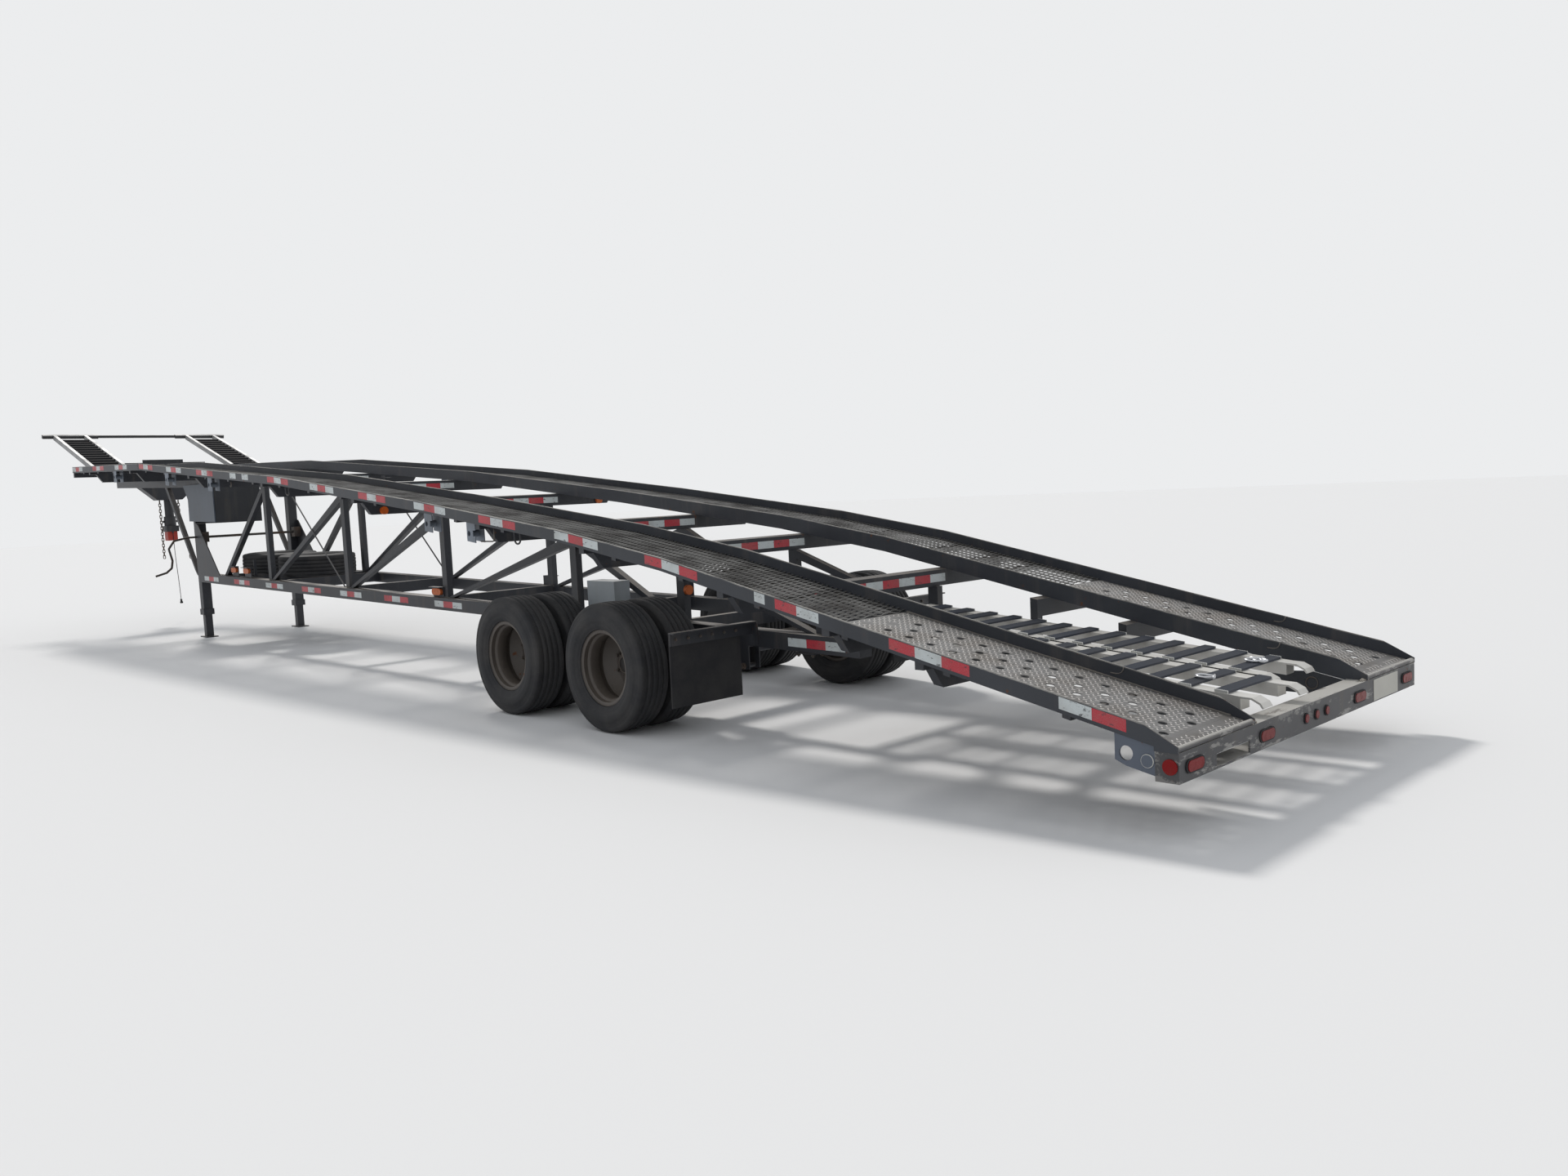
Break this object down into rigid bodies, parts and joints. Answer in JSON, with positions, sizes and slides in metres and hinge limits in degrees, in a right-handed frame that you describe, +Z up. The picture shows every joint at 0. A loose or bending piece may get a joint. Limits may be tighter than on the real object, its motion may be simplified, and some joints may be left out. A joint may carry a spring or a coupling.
{
  "type": "gooseneck wedge car hauler trailer",
  "caption": "Arched wedge car hauler trailer with perforated and mesh runways on a trussed frame, tandem twin-wheel axles, gooseneck coupler and tilting head ramps.",
  "frame": {"origin": "on the ground under the middle of the trailer's overall length and width", "axes": "+X forward to the tow vehicle, +Y to the left, +Z up"},
  "size_m": [16.8096, 2.591, 2.6674],
  "materials": {
    "amber_lens": "amber lamp lens",
    "bare_steel": "bright bare steel",
    "box_paint": "dark painted sheet",
    "chain_steel": "dull zinc plated chain",
    "deck_rust": "dusty tread plate, paint worn off",
    "door_paint": "faded light grey paint",
    "frame_black": "worn black paint with dust",
    "mesh_steel": "dusty expanded metal",
    "plate_white": "blank light plate",
    "rail_black": "worn black paint with rubbed edges",
    "red_lens": "red lamp lens",
    "red_paint": "worn red paint",
    "rubber": "black rubber sheet",
    "tyre_rubber": "dusty black rubber",
    "wheel_paint": "dirty pale paint with rust"
  },
  "bodies": {
    "trailer_frame": {"amber_lamps": "amber_lens", "axle_beams": "frame_black", "cable_plug": "rubber", "coupler": "frame_black", "coupler_latch": "red_paint", "cross_beams": "frame_black", "deck_cross_members": "frame_black", "equipment_box": "door_paint", "flap_brackets": "frame_black", "front_bar": "frame_black", "inner_rails": "rail_black", "jack_crank": "frame_black", "jack_legs": "frame_black", "lamp_brackets": "frame_black", "lamp_grommets": "rubber", "leaf_springs": "frame_black", "leg_columns": "frame_black", "licence_plate": "plate_white", "lower_chords": "frame_black", "lower_cross_members": "frame_black", "mesh_decks": "mesh_steel", "mud_flaps": "rubber", "neck_frame": "frame_black", "outer_rails": "rail_black", "ramp_tray": "frame_black", "rear_bumper": "frame_black", "rear_side_plates": "frame_black", "safety_chains": "chain_steel", "spare_rims": "wheel_paint", "spare_tyres": "tyre_rubber", "spring_hangers": "frame_black", "stored_ramp_rails": "bare_steel", "stored_ramp_slats": "deck_rust", "strap_brackets": "bare_steel", "tail_lamps": "red_lens", "tie_loops": "frame_black", "toolbox": "box_paint", "toolbox_hinge": "box_paint", "trailer_cable": "rubber", "tread_plates": "deck_rust", "truss_diagonals": "frame_black", "truss_posts": "frame_black"},
    "head_ramps": {"head_ramp_rails": "bare_steel", "head_ramp_slats": "mesh_steel"},
    "toolbox_door": {"toolbox_door": "door_paint"},
    "wheels_rear_left": {"tyres_rear_left": "tyre_rubber", "wheels_rear_left": "wheel_paint"},
    "wheels_rear_right": {"tyres_rear_right": "tyre_rubber", "wheels_rear_right": "wheel_paint"},
    "wheels_front_left": {"tyres_front_left": "tyre_rubber", "wheels_front_left": "wheel_paint"},
    "wheels_front_right": {"tyres_front_right": "tyre_rubber", "wheels_front_right": "wheel_paint"}
  },
  "joints": [
    {"name": "roll_rear_left", "type": "hinge", "parent": "trailer_frame", "child": "wheels_rear_left", "pos_m": [-4.62981, 1.024, 0.4], "axis": [0, 1, 0], "continuous": true},
    {"name": "roll_rear_right", "type": "hinge", "parent": "trailer_frame", "child": "wheels_rear_right", "pos_m": [-4.62981, -1.024, 0.4], "axis": [0, 1, 0], "continuous": true},
    {"name": "roll_front_left", "type": "hinge", "parent": "trailer_frame", "child": "wheels_front_left", "pos_m": [-3.52581, 1.024, 0.4], "axis": [0, 1, 0], "continuous": true},
    {"name": "roll_front_right", "type": "hinge", "parent": "trailer_frame", "child": "wheels_front_right", "pos_m": [-3.52581, -1.024, 0.4], "axis": [0, 1, 0], "continuous": true},
    {"name": "head_ramp_tilt", "type": "hinge", "parent": "trailer_frame", "child": "head_ramps", "pos_m": [6.64419, 0, 2.12], "axis": [0, 1, 0], "range_deg": [-10, 20]},
    {"name": "toolbox_door_swing", "type": "hinge", "parent": "trailer_frame", "child": "toolbox_door", "pos_m": [3.99419, 0.6185, 1.8153], "axis": [1, 0, 0], "range_deg": [0, 90]}
  ]
}
